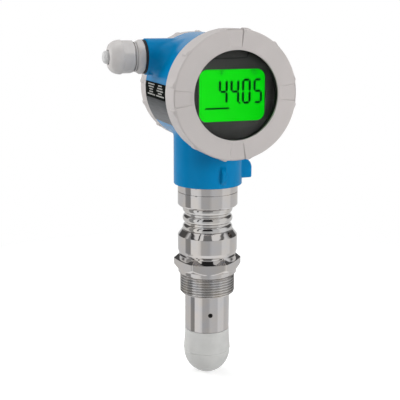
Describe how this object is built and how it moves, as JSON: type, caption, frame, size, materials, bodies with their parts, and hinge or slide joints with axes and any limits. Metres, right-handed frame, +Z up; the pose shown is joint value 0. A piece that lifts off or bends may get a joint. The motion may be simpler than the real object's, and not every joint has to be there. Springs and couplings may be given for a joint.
{
  "type": "radar level transmitter",
  "caption": "Radar level transmitter with a threaded process connection, drip-off antenna, ribbed cooling neck and a two-compartment housing with a local display.",
  "frame": {"origin": "on the vertical axis in the sealing plane under the hexagon, at the top of the process thread's relief", "axes": "+Z up along the process axis, away from the antenna; the display looks along -Y and the cable gland points along -X"},
  "size_m": [0.1429, 0.1134, 0.3034],
  "materials": {
    "steel": "polished",
    "antenna_plastic": "matte",
    "blue_coating": "satin",
    "grey_coating": "satin",
    "grey_plastic": "satin",
    "black_plastic": "matte",
    "bezel_plastic": "satin",
    "lcd_green": "satin",
    "lcd_ink": "satin",
    "window_glass": "gloss",
    "rubber": "matte",
    "seal_ceramic": "satin",
    "gold_plate": "polished",
    "circuit_board": "satin",
    "label_print": "satin",
    "insert_plastic": "matte"
  },
  "bodies": {
    "process_unit": {"antenna_dome": "antenna_plastic", "antenna_seal": "rubber", "sensor_tube": "steel", "tube_set_screw": "steel", "process_connection": "steel", "waveguide": "gold_plate", "waveguide_seal": "seal_ceramic", "sensor_body": "steel", "cooling_neck": "steel", "lower_ring": "steel", "neck_adapter": "steel", "neck_oring": "rubber", "retaining_ring": "steel", "radar_module": "insert_plastic", "module_board": "circuit_board", "module_socket": "insert_plastic"},
    "housing": {"housing": "blue_coating", "lock_screw": "steel", "nameplate": "label_print", "ground_clamp": "steel", "ground_screw": "steel", "electronics_insert": "insert_plastic", "main_board": "circuit_board", "insert_lid": "black_plastic", "display_carrier": "black_plastic", "compartment_seal": "black_plastic", "terminal_block": "black_plastic", "terminal_screws": "steel", "inner_ground_screw": "steel", "gland_washer": "rubber", "gland_body": "grey_plastic"},
    "display_module": {"display_bezel": "bezel_plastic", "lcd_panel": "lcd_green", "lcd_segments": "lcd_ink", "display_board": "circuit_board"},
    "display_cover_seal": {"cover_oring": "rubber"},
    "display_cover": {"display_cover": "grey_coating", "window_gasket": "rubber", "window_glass": "window_glass", "window_ring": "black_plastic"},
    "rear_cover_seal": {"rear_oring": "rubber"},
    "rear_cover": {"rear_cover": "grey_coating"},
    "gland_seal": {"gland_insert": "rubber", "gland_plug": "grey_plastic"},
    "gland_nut": {"gland_nut": "grey_plastic"},
    "blind_plug_seal": {"plug_oring": "rubber"},
    "blind_plug": {"blind_plug": "grey_plastic"}
  },
  "joints": [
    {"name": "housing_turn", "type": "hinge", "parent": "process_unit", "child": "housing", "pos_m": [0, 0, 0.0782], "axis": [0, 0, 1], "range_deg": [-175, 175]},
    {"name": "display_turn", "type": "hinge", "parent": "housing", "child": "display_module", "pos_m": [0, 0, 0.1584], "axis": [0, -1, 0], "range_deg": [-180, 180]},
    {"name": "display_cover_travel", "type": "slide", "parent": "housing", "child": "display_cover_seal", "axis": [0, -1, 0], "range_m": [0, 0.01401]},
    {"name": "display_cover_turn", "type": "hinge", "parent": "display_cover_seal", "child": "display_cover", "pos_m": [0, 0, 0.1584], "axis": [0, -1, 0], "range_deg": [0, 2520]},
    {"name": "rear_cover_travel", "type": "slide", "parent": "housing", "child": "rear_cover_seal", "axis": [0, 1, 0], "range_m": [0, 0.01201]},
    {"name": "rear_cover_turn", "type": "hinge", "parent": "rear_cover_seal", "child": "rear_cover", "pos_m": [0, 0, 0.1584], "axis": [0, 1, 0], "range_deg": [0, 2160]},
    {"name": "gland_nut_travel", "type": "slide", "parent": "housing", "child": "gland_seal", "axis": [-1, 0, 0], "range_m": [0, 0.00601]},
    {"name": "gland_nut_turn", "type": "hinge", "parent": "gland_seal", "child": "gland_nut", "pos_m": [-0.06, 0.014, 0.1848], "axis": [-1, 0, 0], "range_deg": [0, 1440]},
    {"name": "blind_plug_travel", "type": "slide", "parent": "housing", "child": "blind_plug_seal", "axis": [1, 0, 0], "range_m": [0, 0.00901]},
    {"name": "blind_plug_turn", "type": "hinge", "parent": "blind_plug_seal", "child": "blind_plug", "pos_m": [0.052, 0.014, 0.1848], "axis": [1, 0, 0], "range_deg": [0, 2160]}
  ],
  "couplings": [
    {"joint": "display_cover_travel", "follows": "display_cover_turn", "m_per_rad": 0.00031831},
    {"joint": "rear_cover_travel", "follows": "rear_cover_turn", "m_per_rad": 0.00031831},
    {"joint": "gland_nut_travel", "follows": "gland_nut_turn", "m_per_rad": 0.00023873},
    {"joint": "blind_plug_travel", "follows": "blind_plug_turn", "m_per_rad": 0.00023873}
  ]
}
